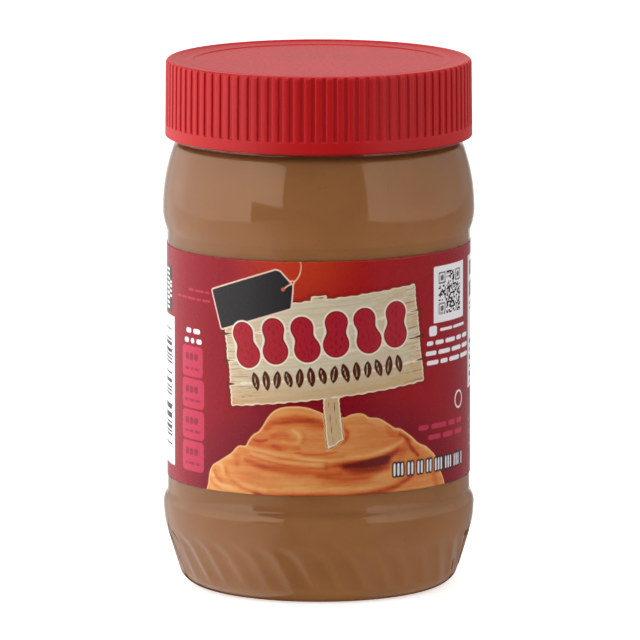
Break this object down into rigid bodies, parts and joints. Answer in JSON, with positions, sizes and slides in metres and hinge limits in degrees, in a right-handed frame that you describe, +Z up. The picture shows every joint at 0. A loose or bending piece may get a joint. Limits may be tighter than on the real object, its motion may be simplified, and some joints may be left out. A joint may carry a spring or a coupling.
{
  "type": "peanut butter jar",
  "caption": "Clear wide-mouth jar of smooth peanut butter with a ribbed red screw cap, a wrap label in a recessed panel and slanted flutes above the heel.",
  "frame": {"origin": "centre of the standing ring, on the surface that the jar stands on", "axes": "+Z up along the jar's axis, -Y towards the front of the label, +X to the right seen from the front"},
  "size_m": [0.075, 0.075, 0.1273],
  "materials": {
    "clear_wall": "clear glossy moulded plastic",
    "cap_plastic": "satin red moulded plastic",
    "label_paper": "glossy printed label film, red with a pale board, a dark tag and an orange swirl",
    "peanut_butter": "smooth light brown spread"
  },
  "bodies": {
    "root": {"jar": "clear_wall", "cap": "cap_plastic", "label": "label_paper", "peanut_butter": "peanut_butter"}
  },
  "joints": []
}
